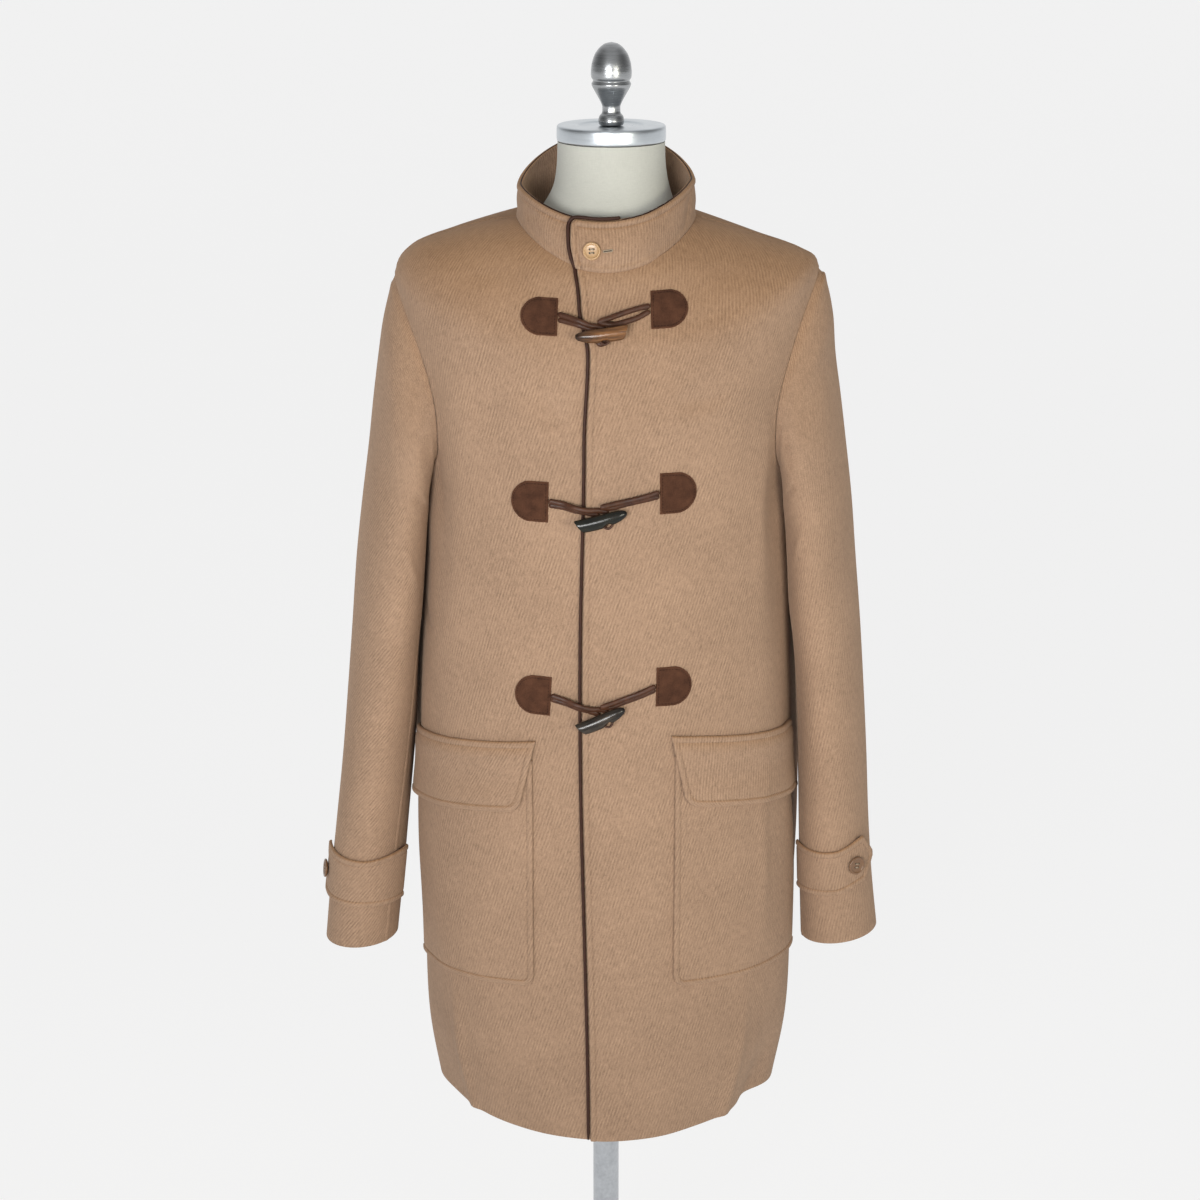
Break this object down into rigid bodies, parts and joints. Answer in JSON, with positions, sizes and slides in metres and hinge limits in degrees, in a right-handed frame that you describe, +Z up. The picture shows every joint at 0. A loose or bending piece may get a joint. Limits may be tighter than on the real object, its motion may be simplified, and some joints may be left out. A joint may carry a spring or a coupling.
{
  "type": "duffle coat on a dress form",
  "caption": "Buttoned thigh-length wool duffle coat with toggles, patch pockets and a stand collar, on a limbless dress form with a pole and a round base.",
  "frame": {"origin": "centre of the base's underside, on the floor", "axes": "+Z up along the pole, -Y towards the coat's front, +X towards the wearer's left"},
  "size_m": [0.6284, 0.38, 1.5897],
  "materials": {
    "wool": "matte, napped twill",
    "suede": "matte, brushed",
    "leather": "satin",
    "horn": "polished, streaked",
    "button": "polished, marbled",
    "form_cover": "smooth, matte",
    "metal": "brushed"
  },
  "bodies": {
    "root": {"front_left": "wool", "front_right": "wool", "back": "wool", "sleeve_right_top": "wool", "sleeve_right_under": "wool", "cuff_strap_right": "wool", "cuff_button_right": "button", "sleeve_left_top": "wool", "sleeve_left_under": "wool", "cuff_strap_left": "wool", "cuff_button_left": "button", "collar": "wool", "collar_facing": "wool", "front_piping": "leather", "collar_piping": "leather", "collar_button": "button", "pocket_right": "wool", "pocket_left": "wool", "pocket_flap_right": "wool", "pocket_flap_left": "wool", "patch_top_right": "suede", "patch_top_left": "suede", "toggle_cord_top": "leather", "loop_top": "leather", "toggle_top": "horn", "patch_middle_right": "suede", "patch_middle_left": "suede", "toggle_cord_middle": "leather", "loop_middle": "leather", "toggle_middle": "horn", "patch_low_right": "suede", "patch_low_left": "suede", "toggle_cord_low": "leather", "loop_low": "leather", "toggle_low": "horn", "form_torso": "form_cover", "form_cap": "metal", "form_finial": "metal", "form_pole": "metal", "form_base": "metal"}
  },
  "joints": []
}
